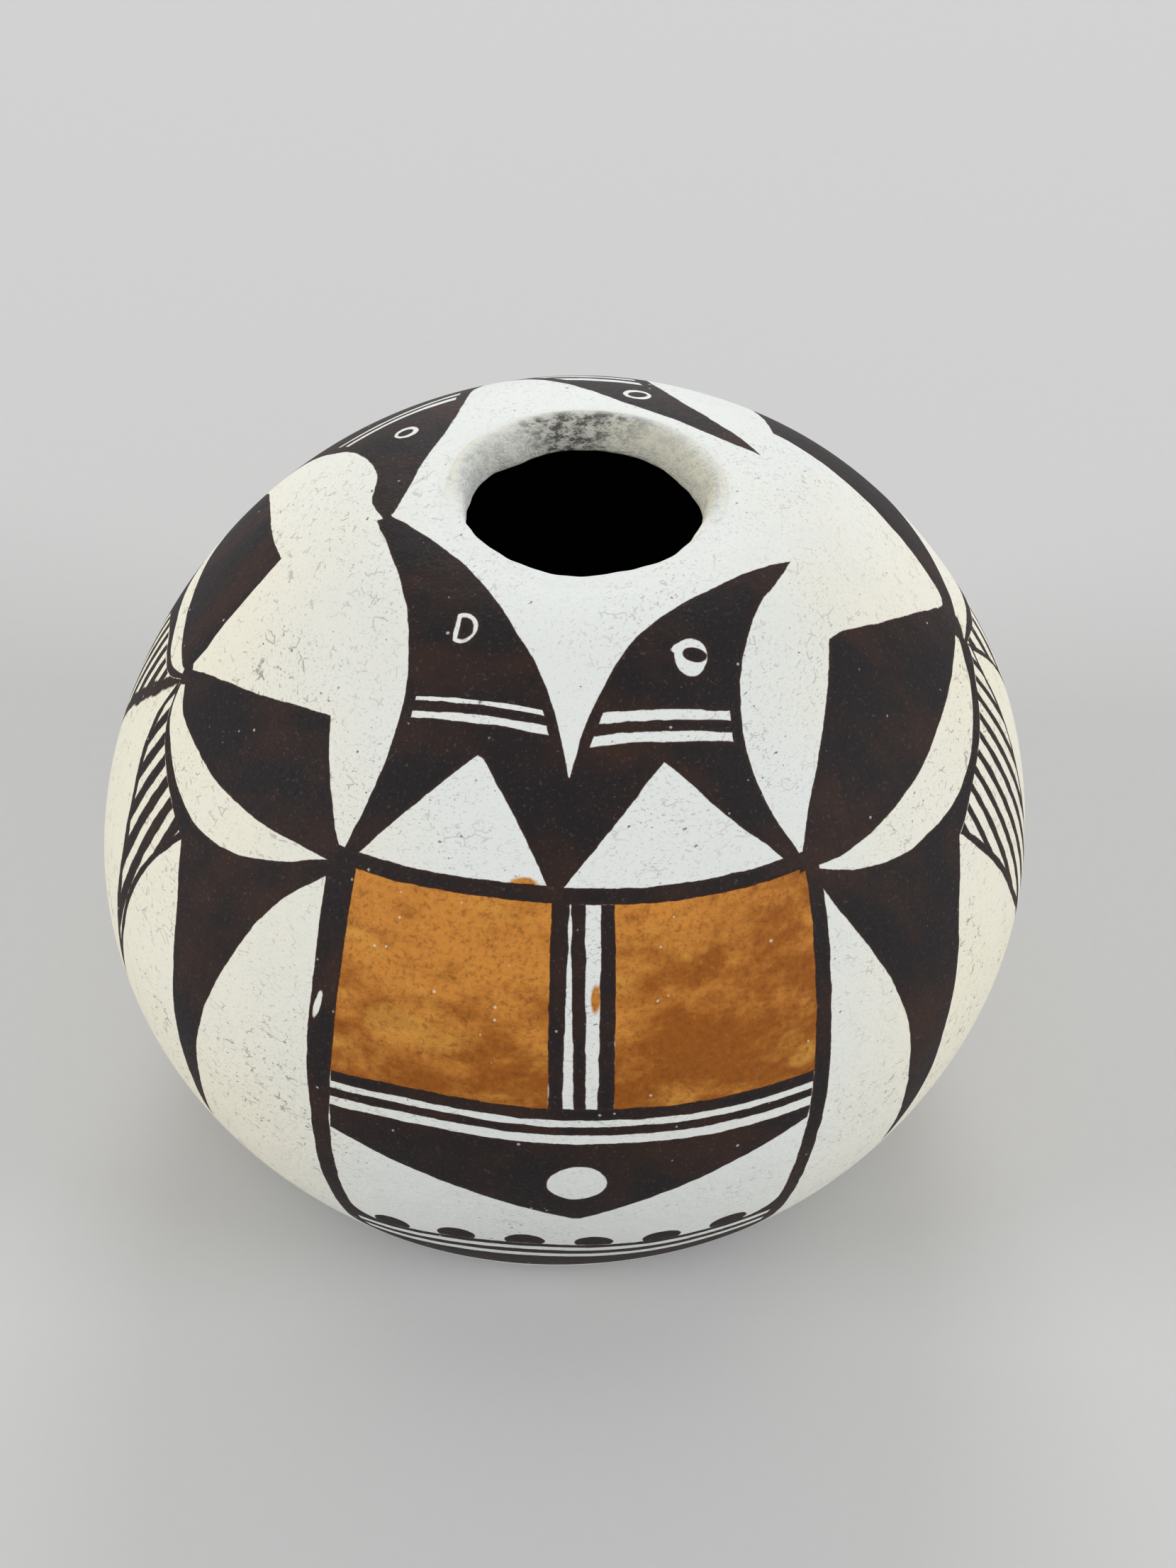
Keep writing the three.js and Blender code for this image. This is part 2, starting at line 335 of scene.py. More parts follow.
def foot_and_ring():
    """The rounded foot: a circle of FOOT_ARC_RADIUS that leaves the ground and meets the lower belly."""
    rise = FOOT_ARC_RADIUS * (1.0 - math.cos(FOOT_ARC_START))
    share = (BELLY_HEIGHT - rise) / LOWER_DROP
    start_radius = BELLY_RADIUS * (1.0 - share ** LOWER_POWER) ** (1.0 / LOWER_POWER)
    ring_radius = start_radius - FOOT_ARC_RADIUS * math.sin(FOOT_ARC_START)
    down = -math.pi / 2.0
    arc = arc_points((ring_radius, FOOT_ARC_RADIUS), FOOT_ARC_RADIUS, down, down + FOOT_ARC_START, 60)
    return arc, start_radius, ring_radius


def shoulder_top():
    """A cubic curve from the belly's upper end to the crest: it leaves on the slope and arrives level."""
    end_angle = angle_at(SHOULDER_END_RADIUS, SHOULDER_POWER)
    near = superellipse(BELLY_RADIUS, SHOULDER_RISE, SHOULDER_POWER, np.array([end_angle - 1e-4, end_angle]))
    slope = near[1] - near[0]
    start = near[1]
    corner = start + slope * ((LIP_HEIGHT - start[1]) / slope[1])
    crest = np.array([CREST_RADIUS, LIP_HEIGHT])
    first = start + (corner - start) * SHOULDER_EASE
    second = crest + (corner - crest) * SHOULDER_EASE
    t = np.linspace(0.0, 1.0, 160)[:, None]
    return ((1 - t) ** 3 * start + 3 * (1 - t) ** 2 * t * first
            + 3 * (1 - t) * t ** 2 * second + t ** 3 * crest)


def outer_profile():
    """The outer face from the foot's ring up to the crest, as radius and height, and the ring's radius."""
    foot, start_radius, ring_radius = foot_and_ring()
    low_angle = -angle_at(start_radius, LOWER_POWER)
    lower = superellipse(BELLY_RADIUS, LOWER_DROP, LOWER_POWER, np.linspace(low_angle, 0.0, 400))
    high_angle = angle_at(SHOULDER_END_RADIUS, SHOULDER_POWER)
    upper = superellipse(BELLY_RADIUS, SHOULDER_RISE, SHOULDER_POWER, np.linspace(0.0, high_angle, 400))
    return np.vstack([foot, lower[1:], upper[1:], shoulder_top()[1:]]), ring_radius


def lip_profile():
    """The lip from the crest inwards: a quarter circle down to the throat, then a small one under it."""
    top = arc_points((CREST_RADIUS, LIP_HEIGHT - LIP_ROUND), LIP_ROUND, math.pi / 2, math.pi, 60)
    under_centre = (THROAT_RADIUS + LIP_UNDER_ROUND, LIP_HEIGHT - LIP_ROUND - 0.3)
    under = arc_points(under_centre, LIP_UNDER_ROUND, math.pi, 1.5 * math.pi, 30)
    return np.vstack([top[1:], under])


def inner_profile(outer):
    """The inner face from lip to floor: each outer point moved in along its normal by the wall there."""
    step = np.gradient(outer, axis=0)
    step /= np.linalg.norm(step, axis=1)[:, None]
    inward = np.column_stack([-step[:, 1], step[:, 0]])
    heights = [0.0, BELLY_HEIGHT, LIP_HEIGHT]
    wall = np.interp(outer[:, 1], heights, [WALL_AT_FOOT, WALL_AT_BELLY, WALL_AT_LIP])
    inner = outer + inward * wall[:, None]
    return inner[::-1]


def way_along(points):
    """How far along its path each point stands."""
    return np.concatenate([[0.0], np.cumsum(np.linalg.norm(np.diff(points, axis=0), axis=1))])


def thin_out(points, spacing):
    """The same path at an even spacing along its length, ends kept."""
    length = way_along(points)
    count = max(2, int(round(length[-1] / spacing)) + 1)
    at = np.linspace(0.0, length[-1], count)
    return np.column_stack([np.interp(at, length, points[:, 0]), np.interp(at, length, points[:, 1])])


def section(spacing):
    """The whole section from the base's middle, up the outside, over the lip and down to the floor's middle.

    Returns radius, height and arc rows; the arc is the way down the outside from the crest, and it runs
    below zero from the crest inwards.
    """
    outer, ring_radius = outer_profile()
    share = np.linspace(0.0, 1.0, 14)
    hollow = np.column_stack([(ring_radius - FOOT_RING_WIDTH) * share, BASE_HOLLOW * (1.0 - share ** 2)])
    ring = np.array([[ring_radius - FOOT_RING_WIDTH * 0.5, 0.0]])
    outside = thin_out(outer, spacing)
    lip = thin_out(lip_profile(), spacing * 0.4)
    inner = inner_profile(outer)
    keep = (inner[:, 1] < lip[-1, 1] - 0.2) | (inner[:, 0] > lip[-1, 0] + 0.6)
    inner = thin_out(inner[keep], spacing * 3.0)
    floor = np.array([[inner[-1, 0] * 0.55, inner[-1, 1]], [0.0, inner[-1, 1]]])
    path = np.vstack([hollow, ring, outside, lip, inner, floor])
    way = way_along(path)
    crest = len(hollow) + len(outside)
    return path[:, 0], path[:, 1], way[crest] - way


def hand_shape(radius, height, arc, azimuth):
    """Small unevenness of hand work, added to the radius.

    The wall has slow waves, size * sin(times * azimuth + turn * height + start), and the mouth has a wavy
    cut edge through MOUTH_EDGE with two finer waves.
    """
    phi = np.radians(azimuth)
    waves = sum(size * np.sin(times * phi + turn * height + start)
                for size, times, turn, start in HAND_WAVES)
    waves = waves + HAND_OFFSET
    near_mouth = np.exp(-((arc - CUT_ARC) / CUT_REACH) ** 2)
    edge = smooth_path(MOUTH_EDGE, 200)
    cut = np.interp(azimuth, edge[:, 0], edge[:, 1])
    cut = sum((size * np.sin(times * phi + start) for size, times, start in CUT_WAVES), cut)
    share = np.clip(radius / CREST_RADIUS, 0.0, 1.0)
    return radius + share * (waves * (1.0 - near_mouth) + cut * near_mouth)


def lip_shape(radius, height, arc, azimuth):
    """The lip's own form: crisp in front and at the sides, and a wide slope down into the mouth at the back.

    The crisp part moves the quarter circle onto c + LIP_ROUND * (|cos|^(2/p), |sin|^(2/p)) about the same
    centre. The slope moves the crest outwards and draws the lip further down.
    """
    phi = np.radians(azimuth)
    back = np.clip((0.5 - 0.5 * np.cos(phi - LIP_BACK) - LIP_BACK_FROM) / LIP_BACK_OVER, 0.0, 1.0)
    back = back * back * (3.0 - 2.0 * back)
    turn = np.clip(-arc / (LIP_ROUND * math.pi / 2), 0.0, 1.0) * (math.pi / 2)
    power = 2.0 / LIP_CRISPNESS
    sideways = LIP_ROUND * (np.sin(turn) - np.sin(turn) ** power)
    upwards = LIP_ROUND * (np.cos(turn) ** power - np.cos(turn))
    on_lip = np.where((arc < 0.0) & (arc > -LIP_ROUND * math.pi / 2), 1.0 - back, 0.0)
    outwards = LIP_BACK_OUT * back * np.exp(-(arc / LIP_BACK_ARC) ** 2)
    deeper = LIP_DEEPER * back * np.clip(-arc / 4.0, 0.0, 1.0) * np.exp(-np.maximum(-arc - 6.0, 0.0) / 8.0)
    return radius + on_lip * sideways + outwards, height + on_lip * upwards - deeper


def oval(x, y):
    """A slightly oval plan: longer by OVAL along the direction OVAL_TURN, shorter across it."""
    c, s = math.cos(OVAL_TURN), math.sin(OVAL_TURN)
    along = (x * c + y * s) * (1.0 + OVAL)
    across = (-x * s + y * c) * (1.0 - OVAL)
    return along * c - across * s, along * s + across * c


def lathe_points(section_rows, columns):
    """The section's rows turned round the axis, and the middles of base and floor as the last two points."""
    radius, height, arc = [values[:, None] for values in section_rows]
    azimuth = (-180.0 + 360.0 * np.arange(columns) / columns)[None, :]
    turned = hand_shape(radius[1:-1], height[1:-1], arc[1:-1], azimuth)
    turned, z = lip_shape(turned, height[1:-1], arc[1:-1], azimuth)
    phi = np.radians(azimuth)
    x, y = oval(turned * np.sin(phi), -turned * np.cos(phi))
    ring = np.stack([x, y, z], axis=-1).reshape(-1, 3)
    return np.vstack([ring, [[0.0, 0.0, height[0, 0]], [0.0, 0.0, height[-1, 0]]]]) * MM


def lathe_faces(rings, columns):
    """Four-sided faces between the rings and a fan in base and floor, and each corner's row and column."""
    r, c = [grid.ravel() for grid in np.meshgrid(np.arange(rings - 1), np.arange(columns), indexing="ij")]
    after = (c + 1) % columns
    here, above = r * columns, (r + 1) * columns
    quads = np.column_stack([here + c, here + after, above + after, above + c])
    k = np.arange(columns)
    base, last = rings * columns, (rings - 1) * columns
    fans = np.vstack([np.column_stack([np.full(columns, base), (k + 1) % columns, k]),
                      np.column_stack([np.full(columns, base + 1), last + k, last + (k + 1) % columns])])
    corner_rows = np.concatenate([(np.column_stack([r, r, r + 1, r + 1]) + 1).ravel(),
                                  np.tile([0, 1, 1], columns), np.tile([rings + 1, rings, rings], columns)])
    corner_columns = np.concatenate([np.column_stack(picks).ravel()
                                     for picks in ([c, c + 1, c + 1, c], [k, k + 1, k], [k, k, k + 1])])
    face_columns = np.concatenate([np.repeat(c + 0.5, 4), np.repeat(k + 0.5, 6)])
    return quads, fans, corner_rows, corner_columns, face_columns


def lathe_mesh(columns, spacing):
    """The jar's points, quads and triangles, and what the pattern needs to know of every face corner."""
    section_rows = section(spacing)
    arc = section_rows[2]
    quads, fans, row, column, face_column = lathe_faces(len(arc) - 2, columns)
    quad_arc = arc[row[:quads.size]].reshape(-1, 4).mean(axis=1)
    fan_arc = arc[row[quads.size:]].reshape(-1, 3).mean(axis=1)
    corners = {
        "row": row,
        "column": column,
        "arc": arc[row],
        "azimuth": -180.0 + 360.0 * column / columns,
        "face_azimuth": -180.0 + 360.0 * face_column / columns,
        "face_arc": np.concatenate([np.repeat(quad_arc, 4), np.repeat(fan_arc, 3)]),
        "inside": np.concatenate([quad_arc, fan_arc]) < LIP_INSIDE_UNTIL,
    }
    return lathe_points(section_rows, columns), quads, fans, corners


def top_chart(q, a):
    """The shoulder laid flat from above: at the angle q, and CREST_RADIUS + a from the middle."""
    out = CREST_RADIUS + a
    return out * np.sin(np.radians(q)), -out * np.cos(np.radians(q))


def side_chart(q, a):
    """The belly rolled out: millimetres round it, and millimetres down it."""
    return MM_PER_DEGREE * np.asarray(q), -np.asarray(a)


def smooth_path(points, count=30):
    """Cubic pieces through the points by Hermite's formula, with slopes over the neighbours' chords."""
    points = np.asarray(points, dtype=float)
    way = way_along(points)
    if len(points) < 3:
        return points
    slopes = np.gradient(points, way, axis=0)
    at = np.linspace(0.0, way[-1], count)
    i = np.clip(np.searchsorted(way, at, side="right") - 1, 0, len(points) - 2)
    span = (way[i + 1] - way[i])[:, None]
    t = (at - way[i])[:, None] / span
    return ((2 * t ** 3 - 3 * t ** 2 + 1) * points[i] + (t ** 3 - 2 * t ** 2 + t) * span * slopes[i]
            + (3 * t ** 2 - 2 * t ** 3) * points[i + 1] + (t ** 3 - t ** 2) * span * slopes[i + 1])


def left_of(x, y, points):
    """Distance to a smooth path, positive on the left of the walk along it; its ends go on straight."""
    path = smooth_path(points)
    nearest = np.full(np.shape(x), np.inf)
    signed = np.zeros(np.shape(x))
    last = len(path) - 2
    for k in range(last + 1):
        (x0, y0), (x1, y1) = path[k], path[k + 1]
        length = math.hypot(x1 - x0, y1 - y0)
        ux, uy = (x1 - x0) / length, (y1 - y0) / length
        along = (x - x0) * ux + (y - y0) * uy
        across = ux * (y - y0) - uy * (x - x0)
        low = -np.inf if k == 0 else 0.0
        high = np.inf if k == last else length
        beyond = along - np.clip(along, low, high)
        distance = np.hypot(across, beyond)
        closer = distance < nearest
        nearest = np.where(closer, distance, nearest)
        signed = np.where(closer, np.where(across < 0.0, -distance, distance), signed)
    return signed


def rounded_corner(across, down, radius):
    """Distance inside a corner whose two edges are across and down away, rounded to a radius."""
    beyond = np.hypot(np.maximum(radius - across, 0.0), np.maximum(radius - down, 0.0))
    return np.minimum(np.minimum(across, down), radius - beyond)


def fold(azimuth, quarter):
    """q = slope t + bend t^2, t degrees from the panel's middle, so that knot and side fall in place."""
    t = quarter["turn"] * (azimuth - quarter["centre"])
    k = abs(quarter["knot"] - quarter["centre"])
    e = abs(quarter["side"] - quarter["centre"])
    bend = (SIDE_Q - KNOT_Q * e / k) / (e * e - k * e)
    slope = KNOT_Q / k - k * bend
    return slope * t + bend * t * t


def edges(chart, across, down, table, *names):
    """Distances at every place to a table's named paths, in a chart, positive on the left of each walk."""
    x, y = chart(across, down)
    return [left_of(x, y, np.column_stack(chart(*np.array(table[name], dtype=float).T))) for name in names]


def shoulder_fields(q, a, quarter):
    """The bird's edges, neck line, tail, eye and flick, the upper leaf's edges and the side knot."""
    neck, tail_in, tail_out = edges(top_chart, q, a, quarter, "neck", "tail inner", "tail outer")
    neck = neck / quarter["bar gap"]
    neck = np.where(neck > 0.0, np.abs(neck) ** quarter["upper bar"], neck)
    x, y = top_chart(q, a)
    eye_x, eye_y = top_chart(*quarter["eye"])
    across, up = x - eye_x, y - eye_y
    pupil_x, pupil_y = quarter["pupil"]
    eye_wide, eye_tall = quarter["eye size"]
    pupil_wide, pupil_tall = quarter["pupil size"]
    flat = quarter["eye flat"] - 0.2 * up - across
    knot_q, knot_a = quarter["side knot"]
    knot = KNOT_REACH - np.hypot((q - knot_q) * MM_PER_DEGREE * KNOT_SQUEEZE, a - knot_a)
    tip_x, tip_y = quarter["flick"]
    flick = np.minimum(*[slant_x * (across - tip_x) + slant_y * (up - tip_y)
                         for slant_x, slant_y in FLICK_EDGES])
    return {
        "bird": (*edges(top_chart, q, a, quarter, "breast", "back"), neck),
        "tail": (np.minimum(tail_in, tail_out), across / eye_wide, up / eye_tall),
        "pupil": ((across - pupil_x) / pupil_wide, (up - pupil_y) / pupil_tall, flat),
        "leaf": edges(top_chart, q, a, quarter, "leaf inner", "leaf top", "bow"),
        "crescent": (*edges(top_chart, q, a, quarter, "crescent", "stroke"), q),
        "touches": (np.minimum(flick, -0.3 - across), knot, np.full_like(q, quarter["line gap"])),
    }


def belly_fields(q, a, quarter):
    """The lower leaf's edges, the hatched crescent's edges and the hatching's count, rolled out."""
    count = (q - quarter["first line"] - quarter["lean"] * (a - HATCHING_LEVEL)) / quarter["pitch"]
    hatching, = edges(side_chart, q, a, quarter, "hatching")
    rim = (hatching + 0.3) * (0.6 / quarter["rim"]) - 0.3
    return {
        "hanging": edges(side_chart, q, a, quarter, "low inner", "low outer", "petal"),
        "hatched": (rim, count, a),
    }


def sag(signed, points):
    """How far a level line hangs at each place: the height of a smooth path through the points."""
    path = smooth_path(points)
    return np.interp(signed, path[:, 0], path[:, 1])


def panel_fields(a, signed):
    """The panel's frame, its level lines that sag in the middle, its inverted peak and its foot lines."""
    left_out, left_in, right_out, right_in = edges(side_chart, signed, a, FRAME, "left outer", "left inner",
                                                   "right outer", "right inner")
    down = np.clip((a - 36.0) / 27.0, 0.0, 1.0)
    level = a - (1.0 - down) * sag(signed, BAND_SAG) - down * sag(signed, LINE_SAG)
    foot = a - sag(signed, FOOT_SAG)
    outside = rounded_corner(np.minimum(left_out, -right_out), FRAME_FOOT - a, FRAME_ROUND)
    inside = rounded_corner(np.minimum(left_in, -right_in), INNER_FOOT - foot, INNER_ROUND)
    beside = signed - PEAK_AT
    rise, bend, lean = PEAK_RISE
    peak = PEAK_LEVEL - rise * np.abs(beside) + bend * np.abs(beside) ** 2 - lean * beside - a
    return {"frame": (outside, inside, level), "panel": (peak, signed, foot)}


def quarter_of(azimuth, arc):
    """The quarter at each place: the front panel's middle leans, and the left beak reaches past the side."""
    start, fade = FRONT_LEAN_ARCS
    middle = FRONT_CENTRE - FRONT_LEAN * np.exp(-np.maximum(arc - start, 0.0) / fade)
    left_side = LEFT_SIDE - BEAK_REACH * np.exp(-(np.maximum(arc, 0.0) / BEAK_ARC) ** 2)
    names = np.full(azimuth.shape, "back left", dtype="U12")
    names[(azimuth >= left_side) & (azimuth < middle)] = "front left"
    names[(azimuth >= middle) & (azimuth < RIGHT_SIDE)] = "front right"
    names[(azimuth >= RIGHT_SIDE) | (azimuth < BACK_CENTRE)] = "back right"
    return names


def pattern_fields(corners):
    """All fields at every face corner; each quarter is worked out on its own columns of the grid."""
    arc, azimuth = corners["arc"], corners["azimuth"]
    names = quarter_of(corners["face_azimuth"], arc)
    painted = corners["face_arc"] > PAINT_FROM
    fields = {}
    for name, own_values in QUARTERS.items():
        quarter = dict(COMMON, **own_values)
        own = (names == name) & painted
        key = corners["row"][own] * COLUMN_LIMIT + corners["column"][own]
        _, first, back = np.unique(key, return_index=True, return_inverse=True)
        a, here = arc[own][first], azimuth[own][first]
        here = np.where(here < 0.0, here + 360.0, here) if name == "back right" else here
        q = fold(here, quarter)
        signed = here - FRONT_CENTRE - STRIPE_CENTRE if name.startswith("front") else q * quarter["turn"]
        parts = {**shoulder_fields(q, a, quarter), **belly_fields(q, a, quarter), **panel_fields(a, signed)}
        for part, values in parts.items():
            whole = fields.setdefault(part, np.zeros((len(arc), 3), np.float32))
            whole[own] = np.column_stack(values)[back]
    fields["hatched"][:, 2] = arc
    return fields


def mesh_object(name, points, quads, triangles):
    """A mesh object at the origin from arrays of points, four-sided faces and three-sided faces."""
    mesh = bpy.data.meshes.new(name)
    mesh.vertices.add(len(points))
    mesh.vertices.foreach_set("co", points.astype(np.float32).ravel())
    loops = np.concatenate([quads.ravel(), triangles.ravel()]).astype(np.int32)
    sizes = np.concatenate([np.full(len(quads), 4), np.full(len(triangles), 3)])
    starts = np.concatenate([[0], np.cumsum(sizes)[:-1]]).astype(np.int32)
    mesh.loops.add(len(loops))
    mesh.loops.foreach_set("vertex_index", loops)
    mesh.polygons.add(len(sizes))
    mesh.polygons.foreach_set("loop_start", starts)
    mesh.update(calc_edges=True)
    mesh.validate()
    mesh.polygons.foreach_set("use_smooth", np.ones(len(sizes), dtype=bool))
    obj = bpy.data.objects.new(name, mesh)
    bpy.context.scene.collection.objects.link(obj)
    return obj


def math_operator(name, reflected=False):
    """An operator of Value that adds a Math node; a reflected one has the other side first."""
    def operate(self, other):
        first, second = (other, self) if reflected else (self, other)
        return self.math(name, first, second)
    return operate


class Value:
    """A number from a node's socket, so that shader maths reads as plain arithmetic."""

    def __init__(self, surface, socket):
        self.surface = surface
        self.socket = socket

    def math(self, operation, first, second=None, clamp=False):
        inputs = {0: first} if second is None else {0: first, 1: second}
        node = self.surface.node("ShaderNodeMath", {"operation": operation, "use_clamp": clamp}, inputs)
        return Value(self.surface, node.outputs[0])

    __add__ = __radd__ = math_operator("ADD")
    __mul__ = __rmul__ = math_operator("MULTIPLY")
    __sub__ = math_operator("SUBTRACT")
    __rsub__ = math_operator("SUBTRACT", reflected=True)
    __truediv__ = math_operator("DIVIDE")
    __pow__ = math_operator("POWER")

    def __neg__(self):
        return self.math("MULTIPLY", self, -1.0)

    def __abs__(self):
        return self.math("ABSOLUTE", self)

    def least(self, *others):
        """The lowest of these: where every shape is."""
        out = self
        for other in others:
            out = self.math("MINIMUM", out, other)
        return out

    def most(self, *others):
        """The highest of these: where any shape is."""
        out = self
        for other in others:
            out = self.math("MAXIMUM", out, other)
        return out

    def fraction(self):
        return self.math("FRACT", self)

    def clamp(self):
        return self.math("ADD", self, 0.0, clamp=True)

    def cover(self, softness):
        """From a distance inside a shape to how much it covers, over an edge this soft."""
        return self.math("ADD", self / softness, 0.5, clamp=True)

    def ramp(self, low, high):
        """0 at low and 1 at high, with eased ends."""
        node = self.surface.node("ShaderNodeMapRange", {"interpolation_type": "SMOOTHSTEP", "clamp": True},
                                 {"Value": self, "From Min": low, "From Max": high})
        return Value(self.surface, node.outputs[0])


class Surface:
    """A material and the few ways in which this file adds nodes to it."""

    def __init__(self, name):
        self.material = bpy.data.materials.new(name)
        self.material.use_nodes = True
        self.tree = self.material.node_tree
        self.tree.nodes.clear()
        self.output = self.tree.nodes.new("ShaderNodeOutputMaterial")

    def node(self, kind, settings=None, inputs=None):
        """A node of this kind, with its settings first and then its sockets' values or links."""
        node = self.tree.nodes.new(kind)
        for key, value in (settings or {}).items():
            setattr(node, key, value)
        for key, value in (inputs or {}).items():
            socket = node.inputs[key]
            if isinstance(value, Value):
                self.tree.links.new(value.socket, socket)
            elif isinstance(value, bpy.types.NodeSocket):
                self.tree.links.new(value, socket)
            else:
                socket.default_value = value
        return node

    def place(self, scale=(1.0, 1.0, 1.0), turn=(0.0, 0.0, 0.0)):
        """Object coordinates, scaled and turned."""
        coordinates = self.node("ShaderNodeTexCoord")
        mapping = self.node("ShaderNodeMapping", {}, {"Vector": coordinates.outputs["Object"],
                                                      "Scale": scale, "Rotation": turn})
        return mapping.outputs[0]

    def noise(self, place, size, detail, rough, offset):
        """Cloudy noise from 0 to 1 whose blots are about size millimetres across."""
        node = self.node("ShaderNodeTexNoise", {"noise_dimensions": "4D"},
                         {"Vector": place, "W": offset, "Scale": 1.0 / (size * MM), "Detail": detail,
                          "Roughness": rough})
        return Value(self, node.outputs[0])

    def cells(self, place, size):
        """Cells of about size millimetres: the distance from a cell's middle, and two random picks."""
        node = self.node("ShaderNodeTexVoronoi", {}, {"Vector": place, "Scale": 1.0 / (size * MM)})
        pick = self.node("ShaderNodeSeparateColor", {}, {0: node.outputs["Color"]})
        return [Value(self, socket) for socket in (node.outputs["Distance"], *pick.outputs[:2])]

    def cell_edges(self, place, size):
        """The distance from the nearest edge between cells of about size millimetres."""
        node = self.node("ShaderNodeTexVoronoi", {"feature": "DISTANCE_TO_EDGE"},
                         {"Vector": place, "Scale": 1.0 / (size * MM)})
        return Value(self, node.outputs["Distance"])

    def attribute(self, name):
        """The three numbers of an attribute of the mesh."""
        node = self.node("ShaderNodeAttribute", {"attribute_name": name})
        split = self.node("ShaderNodeSeparateXYZ", {}, {0: node.outputs["Vector"]})
        return [Value(self, socket) for socket in split.outputs]

    def blend(self, share, first, second):
        """The first colour where share is 0, the second where it is 1; a plain colour gets its alpha."""
        first, second = [colour if isinstance(colour, bpy.types.NodeSocket) else (*colour, 1.0)
                         for colour in (first, second)]
        node = self.node("ShaderNodeMix", {"data_type": "RGBA"}, {0: share, 6: first, 7: second})
        return node.outputs[2]

    def bump(self, strength, distance, height):
        """Fine relief from a height."""
        inputs = {"Strength": strength, "Distance": distance, "Height": height}
        return self.node("ShaderNodeBump", {}, inputs).outputs[0]

    def finish(self, colour, roughness, normal, gloss):
        """The shader itself, and the material's output."""
        shader = self.node("ShaderNodeBsdfPrincipled", {},
                           {"Base Color": colour, "Roughness": roughness, "Normal": normal,
                            "Specular IOR Level": gloss})
        self.tree.links.new(shader.outputs[0], self.output.inputs[0])
        return self.material


def slip_ground(surface, paint):
    """The slip: cool at front and top, ivory on the flanks, with faint dashes, grains and short lines of
    painted shade in its pits.
    """
    place = surface.place()
    level_place = surface.place(scale=(1.0, 1.0, 2.1))
    sideways = surface.node("ShaderNodeSeparateXYZ", {}, {0: place}).outputs[0]
    # Cool white at front and top and ivory towards the flanks: these tones are a painted tint of the light
    # on the slip.
    flank = abs(Value(surface, sideways) / MM - 4.0).ramp(12.0, 48.0)
    clouds = surface.noise(place, 24.0, 3.0, 0.55, 3.0) - 0.5
    ivory = (flank + clouds * 1.4).clamp()
    colour = surface.blend(ivory, paint.slip_colour, paint.ivory_light_and_grit_colour)
    patchy = surface.noise(place, 16.0, 3.0, 0.6, 9.0).ramp(0.36, 0.66)
    bend = surface.noise(place, 0.9, 2.0, 0.6, 1.0)
    bent = surface.node("ShaderNodeVectorMath", {"operation": "MULTIPLY_ADD"},
                        {0: bend.socket, 1: (0.0009, 0.0009, 0.0009), 2: level_place}).outputs[0]
    spots, strong, weak = surface.cells(bent, 1.15)
    grains = ((strong - 0.5).most(0.0) * (patchy * 0.24 + 0.20) - spots).cover(0.04) * (weak * 0.6 + 0.4)
    dashes = surface.noise(bent, 0.40, 2.0, 0.7, 5.0).ramp(0.56, 0.70) * (patchy * 0.6 + 0.3)
    # Short lines along the edges of cells, darkened in the colour: painted shade in the slip's pits.
    pit_lines = surface.cell_edges(bent, 2.1)
    broken = surface.noise(place, 1.4, 2.0, 0.6, 17.0).ramp(0.54, 0.60)
    painted_pit_shade = (1.0 - pit_lines.ramp(0.012, 0.055)) * broken * (flank * 0.4 + patchy * 0.45)
    specks_and_pit_shade = grains.most(dashes * 0.52, painted_pit_shade * 0.9)
    colour = surface.blend(specks_and_pit_shade * 0.88, colour, paint.temper_and_pit_shade_colour)
    return colour, specks_and_pit_shade, place


def away(x, y):
    """Distance from the middle: the square root of x^2 + y^2."""
    return (x * x + y * y) ** 0.5


def inside_oval(x, y, middle, squeeze, depth):
    """Distance inside an oval: depth * (1 - away(squeezed x, squeezed y)), 0 on its edge."""
    return (1.0 - away((x - middle[0]) * squeeze[0], (y - middle[1]) * squeeze[1])) * depth


def inside_lines(at, lines):
    """Distance inside any of several level lines: half width - |level - its own level|."""
    first, *others = [half - abs(at - own) for own, half in lines]
    return first.most(*others)


def down_window(level):
    """0 at the window's top and 1 at its foot."""
    return (level - WINDOW_TOP) / WINDOW_TALL


def bird_shape(surface, paint):
    """A bird's body without the gap in its tail, its neck bars and the white of its eye."""
    breast, back, neck = surface.attribute("bird")
    tail, eye_x, eye_y = surface.attribute("tail")
    level = surface.attribute("frame")[2]
    arc = surface.attribute("hatched")[2]
    body = back.least(breast.most(arc - PAIR_MEETS), BIRD_ENDS - level)
    body = body.least(-(tail.least(TAIL_GAP_ENDS - level)))
    bars = paint.neck_bar / MM * 0.5 - breast * 0.010 - abs(abs(neck) - 1.0)
    body = body.least(-(bars.least(breast - 1.25, back - 1.4)))
    pupil_x, pupil_y, flat = surface.attribute("pupil")
    flick = surface.attribute("touches")[0]
    eye = ((1.0 - away(eye_x, eye_y)) * EYE_DEPTH).least(flat).most(flick)
    pupil = ((1.0 - away(pupil_x, pupil_y)) * PUPIL_DEPTH).least(flat - 0.42)
    return body.least(-(eye.least(-pupil)))


